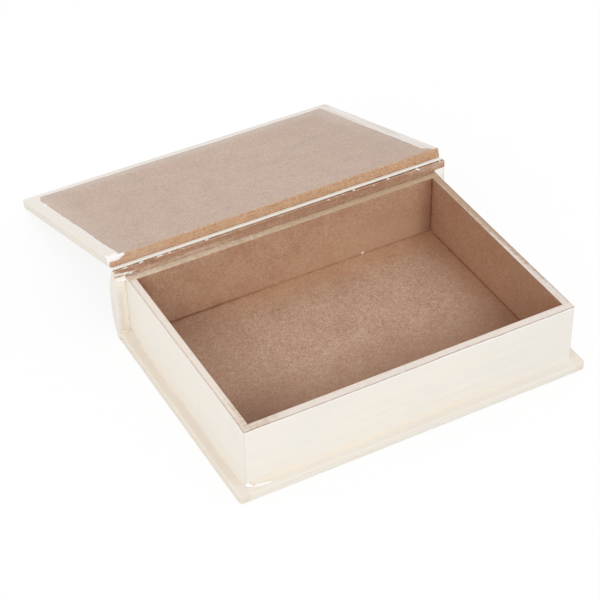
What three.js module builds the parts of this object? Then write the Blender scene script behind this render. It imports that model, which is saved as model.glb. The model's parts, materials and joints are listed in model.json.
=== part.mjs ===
// A book-shaped storage box of thin MDF board. A tray of four walls stands on the bottom cover, a rounded
// spine closes its back, and the lid is the upper cover, which swings on a strip of cloth tape. The box lies
// open as in use, with the lid folded right back until its far edge rests on the table.
//
// Millimetres. X runs along the spine, Y from the fore edge to the spine and Z up from the table.
// The origin is on the bottom cover's underside, below the middle of the tray.

import * as THREE from 'three';

// Tray: four walls of one board, standing on the bottom cover.
const TRAY_LENGTH = 254;
const TRAY_DEPTH = 182;
const WALL_HEIGHT = 48;
const WALL_THICKNESS = 6;
const WALL_ARRIS = 0.4;

// Covers: how thick they are, and how far they stand proud of the tray.
const COVER_THICKNESS = 7;
const END_OVERHANG = 8.5;
const BOTTOM_FORE_OVERHANG = 7.5;
const LID_FORE_OVERHANG = 7;
const COVER_CORNER_RADIUS = 3;
const COVER_ARRIS = 1.2;

// Spine: a moulding, flat inside and round outside.
const SPINE_EDGE_THICKNESS = 2.4;
const SPINE_BULGE = 11.2;
const SPINE_ARRIS = 0.6;

// Cloth hinge, glued to the spine's round face and to the lid's outer face.
const TAPE_THICKNESS = 0.5;
const TAPE_WIDTH_ON_SPINE = 16;
const TAPE_WIDTH_ON_LID = 18;
const TAPE_END_INSET = 1;
const TAPE_BEND_ALLOWANCE = 0.9;

// Clearances: glue under the tape, the closed lid over the tray, the tape over the spine's top, and the
// closed lid's hinge edge beside the spine.
const GLUE_FILM = 0.2;
const LID_REST_GAP = 0.3;
const SPINE_TOP_CLEARANCE = 0.5;
const LID_EDGE_CLEARANCE = 1.1;

// How finely arcs are faceted.
const ROUND_FACE_STEPS = 24;
const CORNER_STEPS = 6;
const ARRIS_STEPS = 3;

// Places worked out from the sizes above.
const coverLength = TRAY_LENGTH + 2 * END_OVERHANG;
const trayBack = TRAY_DEPTH / 2;
const trayFront = -TRAY_DEPTH / 2;
const trayTop = COVER_THICKNESS + WALL_HEIGHT;
const closedLidTop = trayTop + LID_REST_GAP + COVER_THICKNESS;
const tapeUnderside = closedLidTop + GLUE_FILM;
const spineTop = tapeUnderside - SPINE_TOP_CLEARANCE;

// The spine's round face is one arc through its bottom edge, its fullest point and its top edge.
const spineSagitta = SPINE_BULGE - SPINE_EDGE_THICKNESS;
const spineMiddle = spineTop / 2;
const spineRadius = (spineMiddle ** 2 + spineSagitta ** 2) / (2 * spineSagitta);
const spineCentreY = trayBack + SPINE_BULGE - spineRadius;

// The tape bends where its middle surface, wrapped on the spine, comes up to its level on the closed lid.
const tapeRadius = spineRadius + GLUE_FILM + TAPE_THICKNESS / 2;
const hingeZ = tapeUnderside + TAPE_THICKNESS / 2;
const hingeAngle = Math.asin((hingeZ - spineMiddle) / tapeRadius);
const hingeY = spineCentreY + tapeRadius * Math.cos(hingeAngle);

// The lid, measured from the hinge line while it is closed.
const lidHingeEdge = hingeY - (trayBack - LID_EDGE_CLEARANCE);
const lidFarEdge = hingeY - (trayFront - LID_FORE_OVERHANG);
const lidOuterFace = TAPE_THICKNESS / 2 + GLUE_FILM;

// Folded back, the lid turns past flat by this angle, until its rounded far edge meets the table.
const arrisReach = lidFarEdge - COVER_ARRIS;
const arrisDrop = lidOuterFace + COVER_ARRIS;
const restTilt = Math.asin((hingeZ - COVER_ARRIS) / Math.hypot(arrisReach, arrisDrop))
  + Math.atan2(arrisDrop, arrisReach);

const creamPaint = new THREE.MeshStandardMaterial({ color: 0xece6da, roughness: 0.75, metalness: 0 });
const bareBoard = new THREE.MeshStandardMaterial({ color: 0xa9825f, roughness: 0.9, metalness: 0 });
const paintedCloth = new THREE.MeshStandardMaterial({ color: 0xefe9df, roughness: 0.85, metalness: 0 });

// A rectangle in the sketch plane, centred, with round corners.
function roundedRectangle(width, depth, radius) {
  const x = width / 2 - radius;
  const y = depth / 2 - radius;
  const outline = new THREE.Shape();
  outline.absarc(x, -y, radius, -Math.PI / 2, 0);
  outline.absarc(x, y, radius, 0, Math.PI / 2);
  outline.absarc(-x, y, radius, Math.PI / 2, Math.PI);
  outline.absarc(-x, -y, radius, Math.PI, Math.PI * 1.5);
  outline.closePath();
  return outline;
}

// A cover board lying flat: round corners, and arrises taken off all round both faces.
function coverBoard(depth) {
  const outline = roundedRectangle(coverLength, depth, COVER_CORNER_RADIUS);
  const board = new THREE.ExtrudeGeometry(outline, {
    depth: COVER_THICKNESS - 2 * COVER_ARRIS,
    bevelThickness: COVER_ARRIS,
    bevelSize: COVER_ARRIS,
    bevelOffset: -COVER_ARRIS,
    bevelSegments: ARRIS_STEPS,
    curveSegments: CORNER_STEPS,
  });
  board.translate(0, 0, COVER_ARRIS);
  return board;
}

// Runs a section drawn in Y and Z along X, centred.
function alongX(section, length, steps, endArris = 0) {
  const run = new THREE.ExtrudeGeometry(section, {
    depth: length - 2 * endArris,
    bevelEnabled: endArris > 0,
    bevelThickness: endArris,
    bevelSize: endArris,
    bevelOffset: -endArris,
    bevelSegments: ARRIS_STEPS,
    curveSegments: steps,
  });
  run.translate(0, 0, endArris - length / 2);
  const sectionToWorld = new THREE.Matrix4().makeBasis(
    new THREE.Vector3(0, 1, 0),
    new THREE.Vector3(0, 0, 1),
    new THREE.Vector3(1, 0, 0),
  );
  run.applyMatrix4(sectionToWorld);
  return run;
}

// A wall's section: square at its foot, with both top arrises rounded.
function wallSection() {
  const half = WALL_THICKNESS / 2;
  const section = new THREE.Shape();
  section.absarc(half - WALL_ARRIS, WALL_HEIGHT - WALL_ARRIS, WALL_ARRIS, 0, Math.PI / 2);
  section.absarc(-half + WALL_ARRIS, WALL_HEIGHT - WALL_ARRIS, WALL_ARRIS, Math.PI / 2, Math.PI);
  section.lineTo(-half, 0);
  section.lineTo(half, 0);
  section.closePath();
  return section;
}

// The spine's section: a flat inner face, narrow top and bottom edges and the round face between them.
function spineSection() {
  const halfArc = Math.asin(spineMiddle / spineRadius);
  const section = new THREE.Shape();
  section.absarc(spineCentreY, spineMiddle, spineRadius, -halfArc, halfArc);
  section.lineTo(trayBack, spineTop);
  section.lineTo(trayBack, 0);
  section.closePath();
  return section;
}

// The tape's section on the spine: a band wrapped on the round face, with its upper end at the hinge line.
function spineTapeSection() {
  const lowerAngle = hingeAngle - TAPE_WIDTH_ON_SPINE / tapeRadius;
  const half = TAPE_THICKNESS / 2;
  const lowerY = spineCentreY + tapeRadius * Math.cos(lowerAngle);
  const lowerZ = spineMiddle + tapeRadius * Math.sin(lowerAngle);
  const section = new THREE.Shape();
  section.absarc(spineCentreY, spineMiddle, tapeRadius + half, lowerAngle, hingeAngle);
  section.absarc(hingeY, hingeZ, half, hingeAngle, hingeAngle + Math.PI);
  section.absarc(spineCentreY, spineMiddle, tapeRadius - half, hingeAngle, lowerAngle, true);
  section.absarc(lowerY, lowerZ, half, lowerAngle + Math.PI, lowerAngle + 2 * Math.PI);
  section.closePath();
  return section;
}

// The tape's section on the closed lid, measured from the hinge line: flat, with rounded ends.
function lidTapeSection() {
  const half = TAPE_THICKNESS / 2;
  const near = -(TAPE_BEND_ALLOWANCE + half);
  const far = -(lidHingeEdge + TAPE_WIDTH_ON_LID);
  const section = new THREE.Shape();
  section.absarc(near, 0, half, -Math.PI / 2, Math.PI / 2);
  section.absarc(far, 0, half, Math.PI / 2, Math.PI * 1.5);
  section.closePath();
  return section;
}

function namedMesh(name, geometry, material) {
  const mesh = new THREE.Mesh(geometry, material);
  mesh.name = name;
  return mesh;
}

const box = new THREE.Group();
const bookBox = new THREE.Group();
bookBox.add(box);

// Bottom cover: its back edge meets the spine's flat face.
const bottomDepth = TRAY_DEPTH + BOTTOM_FORE_OVERHANG;
const bottomCover = namedMesh('bottom_cover', coverBoard(bottomDepth), creamPaint);
bottomCover.position.y = trayBack - bottomDepth / 2;
box.add(bottomCover);

// Walls: the long ones run right through, and the end walls fit between them.
const longWall = alongX(wallSection(), TRAY_LENGTH, ARRIS_STEPS);
const endWall = alongX(wallSection(), TRAY_DEPTH - 2 * WALL_THICKNESS, ARRIS_STEPS);

const foreEdgeWall = namedMesh('fore_edge_wall', longWall, creamPaint);
foreEdgeWall.position.set(0, trayFront + WALL_THICKNESS / 2, COVER_THICKNESS);
box.add(foreEdgeWall);

const backWall = namedMesh('back_wall', longWall, bareBoard);
backWall.position.set(0, trayBack - WALL_THICKNESS / 2, COVER_THICKNESS);
box.add(backWall);

for (const [name, side] of [['head_wall', -1], ['tail_wall', 1]]) {
  const wall = namedMesh(name, endWall, creamPaint);
  wall.position.set(side * (TRAY_LENGTH - WALL_THICKNESS) / 2, 0, COVER_THICKNESS);
  wall.rotation.z = Math.PI / 2;
  box.add(wall);
}

const spine = alongX(spineSection(), coverLength, ROUND_FACE_STEPS, SPINE_ARRIS);
box.add(namedMesh('spine', spine, creamPaint));

const tapeLength = coverLength - 2 * TAPE_END_INSET;
const spineTape = alongX(spineTapeSection(), tapeLength, CORNER_STEPS);
box.add(namedMesh('hinge_tape_spine', spineTape, paintedCloth));

// The lid turns about the hinge line. Its pieces are placed as if closed, and the group folds them back.
const lid = new THREE.Group();
lid.position.set(0, hingeY, hingeZ);
lid.rotation.x = -(Math.PI + restTilt);
bookBox.add(lid);

const lidDepth = lidFarEdge - lidHingeEdge;
const lidBoard = namedMesh('lid_board', coverBoard(lidDepth), creamPaint);
lidBoard.position.set(0, -(lidHingeEdge + lidFarEdge) / 2, -(lidOuterFace + COVER_THICKNESS));
lid.add(lidBoard);
lid.add(namedMesh('hinge_tape_lid', alongX(lidTapeSection(), tapeLength, CORNER_STEPS), paintedCloth));

console.log('hinge line at y', hingeY.toFixed(3), 'z', hingeZ.toFixed(3));
console.log('lid folded', (THREE.MathUtils.radToDeg(restTilt) + 180).toFixed(3), 'degrees from closed');

export default bookBox;
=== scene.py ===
# %% [markdown]
# # A book-shaped storage box
#
# The real box is made of thin fibreboard: a shallow tray on a bottom cover, a rounded spine at the back,
# and an upper cover that opens like the cover of a book. Outside it is brushed with cream paint. Inside,
# and on the sawn edge at the hinge, the board is left bare.
#
# The imported model is the frame that everything here is fitted to, so it is loaded first.

# %% Load the imported model
import json
from math import asin, cos, degrees, pi, radians, sin, sqrt
from random import Random

import bmesh
import bpy
from mathutils import Matrix, Vector, noise


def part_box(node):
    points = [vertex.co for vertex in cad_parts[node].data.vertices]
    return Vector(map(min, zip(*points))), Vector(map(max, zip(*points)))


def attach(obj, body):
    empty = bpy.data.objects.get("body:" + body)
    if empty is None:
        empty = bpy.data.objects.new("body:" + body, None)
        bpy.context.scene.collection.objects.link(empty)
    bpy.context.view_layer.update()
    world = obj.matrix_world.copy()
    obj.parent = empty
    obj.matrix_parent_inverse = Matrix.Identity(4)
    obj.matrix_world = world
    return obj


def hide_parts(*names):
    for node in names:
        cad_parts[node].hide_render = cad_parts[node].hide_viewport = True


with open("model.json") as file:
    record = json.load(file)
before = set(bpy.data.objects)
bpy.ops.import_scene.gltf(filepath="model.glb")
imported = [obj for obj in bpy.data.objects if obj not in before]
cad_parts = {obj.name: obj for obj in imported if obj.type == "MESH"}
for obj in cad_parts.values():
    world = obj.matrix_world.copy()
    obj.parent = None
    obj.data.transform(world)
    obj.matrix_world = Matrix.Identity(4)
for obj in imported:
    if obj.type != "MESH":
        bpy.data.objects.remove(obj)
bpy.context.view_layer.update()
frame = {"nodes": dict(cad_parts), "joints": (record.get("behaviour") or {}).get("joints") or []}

print("nodes:", ", ".join(sorted(frame["nodes"])))

# %% [markdown]
# Blender works in metres, but a box maker thinks in millimetres. All sizes below are in millimetres, and
# one factor turns them into metres when a mesh is written. The sizes that the model already has are read
# from its nodes, so that nothing has to be fitted by eye.

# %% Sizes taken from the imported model
MM = 0.001


def limits(node):
    """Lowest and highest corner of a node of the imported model, in millimetres."""
    low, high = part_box(node)
    return low / MM, high / MM


cover_low, cover_high = limits("bottom_cover")
fore_low, fore_high = limits("fore_edge_wall")
back_high = limits("back_wall")[1]
spine_low, spine_high = limits("spine")

COVER_LENGTH = cover_high.x - cover_low.x
COVER_THICKNESS = cover_high.z - cover_low.z
TRAY_LENGTH = fore_high.x - fore_low.x
WALL_THICKNESS = fore_high.y - fore_low.y
TRAY_FRONT, TRAY_BACK = fore_low.y, back_high.y
TRAY_TOP = fore_high.z

hinge = frame["joints"][0]
HINGE_Y, HINGE_Z = hinge["pos_m"][1] / MM, hinge["pos_m"][2] / MM
LID_TURN = radians(hinge["range_deg"][1])
print(f"cover {COVER_LENGTH:.1f} long and {COVER_THICKNESS:.1f} thick, walls {WALL_THICKNESS:.1f}")
print(f"hinge line at y {HINGE_Y:.2f}, z {HINGE_Z:.2f}, lid folded back by {degrees(LID_TURN):.2f} degrees")

# %% [markdown]
# ## Camera
#
# The photograph was taken from the front left, about 39 degrees above the table, with a long lens, which
# keeps the long edges almost parallel. Its place was found by matching the straight edges of the box, so
# it is written as an angle round the object, a height, a small roll and a distance.

# %% Camera
LENS_MM = 114.2764
AZIMUTH, ELEVATION, ROLL = radians(-27.5956), radians(39.4449), radians(-1.3250)
DISTANCE, ASIDE, ABOVE = 1347.692, -33.404, 31.188

toward_camera = Vector((sin(AZIMUTH) * cos(ELEVATION), -cos(AZIMUTH) * cos(ELEVATION), sin(ELEVATION)))
level_right = Vector((cos(AZIMUTH), sin(AZIMUTH), 0))
level_up = toward_camera.cross(level_right)
camera_right = cos(ROLL) * level_right + sin(ROLL) * level_up
camera_up = cos(ROLL) * level_up - sin(ROLL) * level_right
tray_foot = Vector((0, 0, COVER_THICKNESS))
camera_place = tray_foot + ASIDE * camera_right + ABOVE * camera_up + DISTANCE * toward_camera

camera_data = bpy.data.cameras.new("camera")
camera_data.lens = LENS_MM
camera_data.sensor_width = 36
camera_data.clip_start, camera_data.clip_end = 0.05, 20
camera = bpy.data.objects.new("camera", camera_data)
turn = Matrix((camera_right, camera_up, toward_camera)).transposed()
camera.matrix_world = Matrix.Translation(camera_place * MM) @ turn.to_4x4()
bpy.context.scene.collection.objects.link(camera)
bpy.context.scene.camera = camera
bpy.context.scene.view_settings.view_transform = "Standard"
print("camera at", [round(c, 1) for c in camera_place])

# %% [markdown]
# ## Writing materials as sums
#
# A material is a net of nodes, and a net made by hand is hard to read back. Here a socket is wrapped in a
# small class, so that a mask is written as ordinary arithmetic and every operator adds the node it needs.
# Numbers go through Math nodes, places through Vector Math, and colours through Mix. The same works for the
# light all round, which is a net of nodes too.

# %% A socket that can be calculated with
class Wire:
    """One output of a node. Adding, subtracting, multiplying or dividing it adds the node that does so."""

    NAMES = {"+": "ADD", "-": "SUBTRACT", "*": "MULTIPLY", "/": "DIVIDE"}

    def __init__(self, net, socket):
        self.net = net
        self.socket = socket

    def join(self, sign, first, second):
        kinds = {side.socket.type for side in (first, second) if isinstance(side, Wire)}
        operation = self.NAMES[sign]
        if "RGBA" in kinds:
            settings = {"data_type": "RGBA", "blend_type": operation, "clamp_result": False}
            return self.net.node("Mix", settings, {0: 1.0, 6: first, 7: second}, out=2)
        kind = "VectorMath" if "VECTOR" in kinds else "Math"
        return self.net.node(kind, {"operation": operation}, {0: first, 1: second})

    def __add__(self, other):
        return self.join("+", self, other)

    def __radd__(self, other):
        return self.join("+", other, self)

    def __sub__(self, other):
        return self.join("-", self, other)

    def __rsub__(self, other):
        return self.join("-", other, self)

    def __mul__(self, other):
        return self.join("*", self, other)

    def __rmul__(self, other):
        return self.join("*", other, self)

    def __truediv__(self, other):
        return self.join("/", self, other)

    def __abs__(self):
        return self.net.node("Math", {"operation": "ABSOLUTE"}, {0: self})


# %% A net that is written node by node
class Net:
    """A net of nodes. Its method node() adds any node, and the rest are short names for common ones."""

    def __init__(self, tree):
        self.tree = tree

    def feed(self, socket, value):
        if isinstance(value, Wire):
            self.tree.links.new(value.socket, socket)
        elif socket.type == "RGBA" and len(value) == 3:
            socket.default_value = (*value, 1.0)
        elif socket.type == "VECTOR" and isinstance(value, (int, float)):
            socket.default_value = (value, value, value)
        else:
            socket.default_value = value

    def node(self, kind, settings=None, inputs=None, out=0):
        made = self.tree.nodes.new("ShaderNode" + kind)
        for key, value in (settings or {}).items():
            setattr(made, key, value)
        for key, value in (inputs or {}).items():
            self.feed(made.inputs[key], value)
        return Wire(self, made.outputs[out])

    def split(self, vector):
        parts = self.node("SeparateXYZ", None, {0: vector})
        return [Wire(self, socket) for socket in parts.socket.node.outputs]

    def vector(self, x, y, z):
        return self.node("CombineXYZ", None, {0: x, 1: y, 2: z})

    def place(self):
        """Where a point of the surface is, in millimetres, in the piece's own frame."""
        return self.node("TexCoord", out="Object") * (1 / MM)

    def facing(self):
        """Which way the surface faces, in the piece's own frame."""
        return self.node("TexCoord", out="Normal")

    def noise(self, place, detail=2.0, roughness=0.5, distortion=0.0):
        """Soft noise of size 1 in the units of a place, or of its three parts, from 0 to 1 about 0.5."""
        vector = place if isinstance(place, Wire) else self.vector(*place)
        inputs = {"Vector": vector, "Scale": 1.0, "Detail": detail, "Roughness": roughness}
        return self.node("TexNoise", None, {**inputs, "Distortion": distortion})

    def rise(self, low, high, value):
        """0 before low, 1 after high and smooth between. It falls instead where low is above high."""
        settings = {"interpolation_type": "SMOOTHSTEP"}
        return self.node("MapRange", settings, {"Value": value, "From Min": low, "From Max": high})

    def least(self, first, second):
        return self.node("Math", {"operation": "MINIMUM"}, {0: first, 1: second})

    def most(self, first, second):
        return self.node("Math", {"operation": "MAXIMUM"}, {0: first, 1: second})

    def ramps(self, ways, start, *terms):
        """The start, and for each term an amount times its ramps, which are (name of the way, low, high)."""
        for amount, *masks in terms:
            for way, low, high in masks:
                amount = amount * self.rise(low, high, ways[way])
            start = start + amount
        return start

    def blend(self, share, first, second):
        """The first number where share is 0, and the second where it is 1."""
        return self.node("Mix", {"data_type": "FLOAT"}, {0: share, 2: first, 3: second})

    def tint(self, share, first, second):
        """The first colour where share is 0, and the second where it is 1."""
        return self.node("Mix", {"data_type": "RGBA"}, {0: share, 6: first, 7: second}, out=2)

    def coats(self, colour, *layers):
        """Lays coats over a colour one after another. Each is its share and the colour that it brings."""
        for share, coat in layers:
            colour = self.tint(share, colour, coat)
        return colour

    def shown(self):
        """1 for rays that show the scene, straight to the camera, mirrored or seen through. 0 for light."""
        camera_ray, mirrored, through = (
            self.node("LightPath", out=f"Is {kind} Ray") for kind in ("Camera", "Glossy", "Transmission")
        )
        return self.most(self.most(camera_ray, mirrored), through)


# %% A material
SPECULAR = 0.35


class Finish(Net):
    """One material, as a net that ends in its shader."""

    def __init__(self, name):
        self.material = bpy.data.materials.new(name)
        self.material.use_nodes = True
        super().__init__(self.material.node_tree)
        self.shader = self.tree.nodes["Principled BSDF"]

    def close(self, colour, roughness, height):
        """Ends the material. Height is in millimetres."""
        bump = self.node("Bump", None, {"Strength": 1.0, "Distance": MM, "Height": height})
        for name, value in {"Base Color": colour, "Roughness": roughness, "Normal": bump}.items():
            self.feed(self.shader.inputs[name], value)
        self.shader.inputs["Specular IOR Level"].default_value = SPECULAR
        print(f"finish {self.material.name}: {len(self.tree.nodes)} nodes")
        return self.material


def paint(red, green, blue):
    """A colour as a paint card gives it, 0 to 255, turned into the linear values that Blender mixes."""
    shares = (red / 255, green / 255, blue / 255)
    return tuple(s / 12.92 if s <= 0.04045 else ((s + 0.055) / 1.055) ** 2.4 for s in shares)


# %% [markdown]
# ## Table and light
#
# The box stands on a plain white table in a soft studio. Most of the light comes evenly from all round, as
# in a white tent, and one large soft lamp stands in front, which leaves the inner walls a little darker.
# The table is pure white only for the camera: for the light that bounces off it, it is a duller white.

# %% World light
LIGHT_FROM_TENT = 0.97
PURE_WHITE = (1.0, 1.0, 1.0)

world = bpy.data.worlds.new("studio")
world.use_nodes = True
bpy.context.scene.world = world
tent = Net(world.node_tree)
background = world.node_tree.nodes["Background"]
tent_light = tent.node("MapRange", None, {"Value": tent.shown(), "To Min": LIGHT_FROM_TENT, "To Max": 1.0})
tent.feed(background.inputs["Color"], PURE_WHITE)
tent.feed(background.inputs["Strength"], tent_light)
print("tent light", LIGHT_FROM_TENT)

# %% Table top
TABLE_HALF_WIDTH = 4.0
TABLE_DROP = 0.05
TABLE_FOR_LIGHT = (0.82, 0.81, 0.80)
TABLE_GLOW = 0.85

table = bpy.data.meshes.new("table")
sheet = bmesh.new()
bmesh.ops.create_grid(sheet, x_segments=24, y_segments=24, size=TABLE_HALF_WIDTH)
bmesh.ops.translate(sheet, verts=sheet.verts, vec=(0, 0, -TABLE_DROP * MM))
sheet.to_mesh(table)
sheet.free()
table_top = bpy.data.objects.new("table_top", table)
bpy.context.scene.collection.objects.link(table_top)

white = Finish("white_table")
shown = white.shown()
white.feed(white.shader.inputs["Base Color"], white.tint(shown, TABLE_FOR_LIGHT, PURE_WHITE))
white.feed(white.shader.inputs["Roughness"], 0.9)
white.feed(white.shader.inputs["Specular IOR Level"], 0.0)
glow = white.node("Emission", None, {"Color": PURE_WHITE, "Strength": 1.0})
lit = Wire(white, white.shader.outputs[0])
surface = white.node("MixShader", None, {0: shown * TABLE_GLOW, 1: lit, 2: glow})
white.feed(white.tree.nodes["Material Output"].inputs["Surface"], surface)
table.materials.append(white.material)
print("table top", table_top.dimensions.x, "m wide")

# %% Soft lamp in front
LAMP_WATTS = 6.0
LAMP_WIDTH, LAMP_HEIGHT = 1.8, 1.2
LAMP_PLACE = Vector((-1.25, -1.55, 1.15))

lamp_data = bpy.data.lights.new("front_lamp", "AREA")
lamp_data.shape = "RECTANGLE"
lamp_data.size, lamp_data.size_y = LAMP_WIDTH, LAMP_HEIGHT
lamp_data.energy = LAMP_WATTS
lamp = bpy.data.objects.new("front_lamp", lamp_data)
lamp.matrix_world = Matrix.Translation(LAMP_PLACE) @ LAMP_PLACE.to_track_quat("Z", "Y").to_matrix().to_4x4()
bpy.context.scene.collection.objects.link(lamp)
print("lamp", LAMP_WATTS, "W")

# %% [markdown]
# ## Cream paint
#
# The outside is painted by hand with a flat brush. The paint is cream, and each stroke leaves fine ridges
# and faint bands, some warmer and some cooler. So the colour is noise that is drawn out along the stroke
# and short across it. On a standing face the strokes run level, on a lying face along the spine, and on
# the narrow ledges at the two ends along the ledge.

# %% Cream paint
CREAM_PALE = paint(246, 241, 232)
CREAM_DEEP = paint(239, 232, 221)
CREAM_WARM = paint(245, 233, 213)
CREAM_COOL = paint(237, 236, 231)

# Length along the brush and width across it: of a stroke, a band of strokes and a bristle's ridge.
STROKE, BAND, HAIR = (70, 2.6), (110, 9), (14, 0.33)


def cream_paint(f, place, facing, ends_from=1000.0, streaks=1.0):
    """Colour and height of the brushed paint. Lying faces beyond ends_from in x are brushed along y."""
    x, y, z = f.split(place)
    lying = f.rise(0.5, 0.8, abs(f.split(facing)[2]))
    at_end = f.rise(ends_from - 0.5, ends_from + 0.5, abs(x)) * lying
    along = f.blend(at_end, x + (1 - lying) * y, y)
    across = f.blend(lying, z, f.blend(at_end, y, x))
    stroke = f.noise((along / STROKE[0], across / STROKE[1], 0.3), detail=3, roughness=0.55)
    band = f.noise((along / BAND[0], across / BAND[1], 4.1), detail=2)
    cloud = f.noise(place / 26, detail=3, roughness=0.6)
    hair = f.noise((along / HAIR[0], across / HAIR[1], 7.7), detail=2, roughness=0.6)
    colour = f.coats(
        CREAM_PALE,
        (0.3 + (f.rise(0.38, 0.66, stroke) - 0.3) * streaks, CREAM_DEEP),
        (f.rise(0.50, 0.72, band) * 0.5 * streaks, CREAM_WARM),
        (f.rise(0.50, 0.70, cloud) * 0.40, CREAM_COOL),
    )
    height = (stroke * 0.05 + hair * 0.035) * streaks + f.noise(place / 0.7, detail=2) * 0.015
    return colour, height


print("cream from", [round(c, 3) for c in CREAM_DEEP], "to", [round(c, 3) for c in CREAM_PALE])

# %% [markdown]
# ## Bare fibreboard
#
# Fibreboard is pressed from wood fibres that lie in every direction. Close to, it is a brown ground with
# short pale and dark fibres. Twisted noise gives such short crooked marks, and a wider noise gives the
# faint clouds from uneven pressing and sanding.

# %% Bare fibreboard
def fibreboard(f, place, tones, contrast=1.0):
    """Colour and height of bare board. Its tones are the ground, the pale fibres and the dark ones."""
    ground, pale, dark = tones
    fibre = f.noise(place / 1.0, detail=4, roughness=0.75, distortion=2.4)
    dust = f.noise(place / 0.62, detail=2, roughness=0.7)
    speckle = f.noise(place / 2.0, detail=3, roughness=0.6, distortion=1.8)
    cloud = f.noise(place / 22, detail=3, roughness=0.55)
    mottle = f.noise(place / 4.0, detail=4, roughness=0.65)
    colour = ground
    for marks, low, high, share, tone in (
        (fibre, 0.52, 0.66, 0.90, pale), (fibre, 0.47, 0.34, 0.80, dark),
        (dust, 0.52, 0.66, 0.60, pale), (dust, 0.48, 0.34, 0.60, dark),
        (speckle, 0.50, 0.64, 0.42, pale), (speckle, 0.50, 0.36, 0.30, dark),
    ):
        colour = f.tint(f.rise(low, high, marks) * share * contrast, colour, tone)
    shade = f.rise(0.50, 0.70, cloud) * 0.12 + f.rise(0.50, 0.68, mottle) * 0.16
    shine = f.rise(0.50, 0.30, cloud) * 0.10 + f.rise(0.50, 0.32, mottle) * 0.14
    return f.coats(colour, (shade, dark), (shine, pale)), fibre * 0.06 + dust * 0.03


# %% [markdown]
# ## Skinning shapes
#
# Each board is made as a stack or a row of rings that are skinned with quads. That gives full control of
# the edges: the real arrises are only broken with sandpaper and thick with paint, and no two stretches of
# them are quite alike. A steady noise, read at each point's own place, moves the points a little.

# %% Mesh helpers
PIECES = bpy.context.scene.collection
SHARP_FROM = radians(38)


def ease(low, high, value):
    """0 at low, 1 at high and smooth between, for plain numbers."""
    t = min(1.0, max(0.0, (value - low) / (high - low)))
    return t * t * (3 - 2 * t)


def wander(point, *waves):
    """A steady random distance. Each wave of it is (size, largest amount, seed)."""
    place = Vector(point)
    return sum(amount * noise.noise(place / size + Vector((s, 2 * s, -s))) for size, amount, s in waves)


def piece(name, mesh, material, body, node, matrix=None):
    """Turns a bmesh in millimetres into an object that rides on a body. It stands for a node, or for none."""
    bmesh.ops.scale(mesh, vec=(MM, MM, MM), verts=mesh.verts)
    bmesh.ops.recalc_face_normals(mesh, faces=mesh.faces)
    data = bpy.data.meshes.new(name)
    mesh.to_mesh(data)
    mesh.free()
    data.shade_smooth()
    data.set_sharp_from_angle(angle=SHARP_FROM)
    data.materials.append(material)
    made = bpy.data.objects.new(name, data)
    if matrix is not None:
        made.matrix_world = matrix
    PIECES.objects.link(made)
    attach(made, body)
    if node:
        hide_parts(node)
    print(f"{name}: {len(data.polygons)} faces, rides on {body}")
    return made


def skin(mesh, rings):
    """Joins each ring of points to the next with quads and closes both ends."""
    rows = [[mesh.verts.new(point) for point in ring] for ring in rings]
    count = len(rows[0])
    for near, far in zip(rows, rows[1:]):
        for i in range(count):
            j = (i + 1) % count
            mesh.faces.new((near[i], near[j], far[j], far[i]))
    mesh.faces.new(list(reversed(rows[0])))
    mesh.faces.new(rows[-1])


def softened(corners, steps=4, longest=6.0):
    """A closed outline from corners (a, b, radius), each rounded, with its long sides divided."""
    outline = []
    for i, (a, b, radius) in enumerate(corners):
        here = Vector((a, b))
        if radius <= 0:
            outline.append(here)
            continue
        before = (Vector(corners[i - 1][:2]) - here).normalized()
        after = (Vector(corners[(i + 1) % len(corners)][:2]) - here).normalized()
        reach = radius / max(1e-6, sqrt((1 - before.dot(after)) / (1 + before.dot(after) + 1e-9)))
        for k in range(steps + 1):
            t = k / steps
            start, end = here + before * reach, here + after * reach
            outline.append(start * (1 - t) ** 2 + here * 2 * t * (1 - t) + end * t**2)
    divided = []
    for i, here in enumerate(outline):
        there = outline[(i + 1) % len(outline)]
        parts = max(1, round((there - here).length / longest))
        divided += [here.lerp(there, k / parts) for k in range(parts)]
    return divided


def stations(length, step, arris=0.0, steps=4):
    """Places along a length, from its middle, each with how far the outline is drawn in at the end arris."""
    half = length / 2
    turns = [pi / 2 * k / steps for k in range(steps + 1)]
    rounding = [(arris * (1 - cos(a)), arris * (1 - sin(a))) for a in turns]
    first = [(-half + along, inset) for along, inset in rounding] if arris else [(-half, 0.0)]
    inner = half - arris
    count = max(1, round(2 * inner / step))
    middle = [(-inner + 2 * inner * k / count, 0.0) for k in range(1, count)]
    last = [(-along, inset) for along, inset in reversed(first)]
    return first + middle + last


print("helpers ready")

# %% [markdown]
# ## Covers
#
# A cover is a flat board with slightly round corners and sanded arrises. It is built as a stack of rings,
# each the outline of the board drawn in or let out a little, from the middle of the underside to the
# middle of the top. A simple bevelled box would do from afar, but its edges would be dead straight.

# %% Outline and board
def board_outline(length, depth, radius, step=2.5):
    """Points round a rectangle with round corners, each with the way it faces."""
    half_length, half_depth = length / 2 - radius, depth / 2 - radius
    points = []
    for side in range(4):
        turn = side * pi / 2
        centre_x = half_length if side in (0, 3) else -half_length
        centre = Vector((centre_x, half_depth if side < 2 else -half_depth))
        for k in range(7):
            angle = turn + pi / 2 * k / 6
            outward = Vector((cos(angle), sin(angle)))
            points.append((centre + radius * outward, outward))
        outward = Vector((cos(turn + pi / 2), sin(turn + pi / 2)))
        onward = Vector((-outward.y, outward.x))
        run = length - 2 * radius if side % 2 == 0 else depth - 2 * radius
        count = round(run / step)
        points += [(centre + radius * outward + onward * run * k / count, outward) for k in range(1, count)]
    return points


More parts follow.
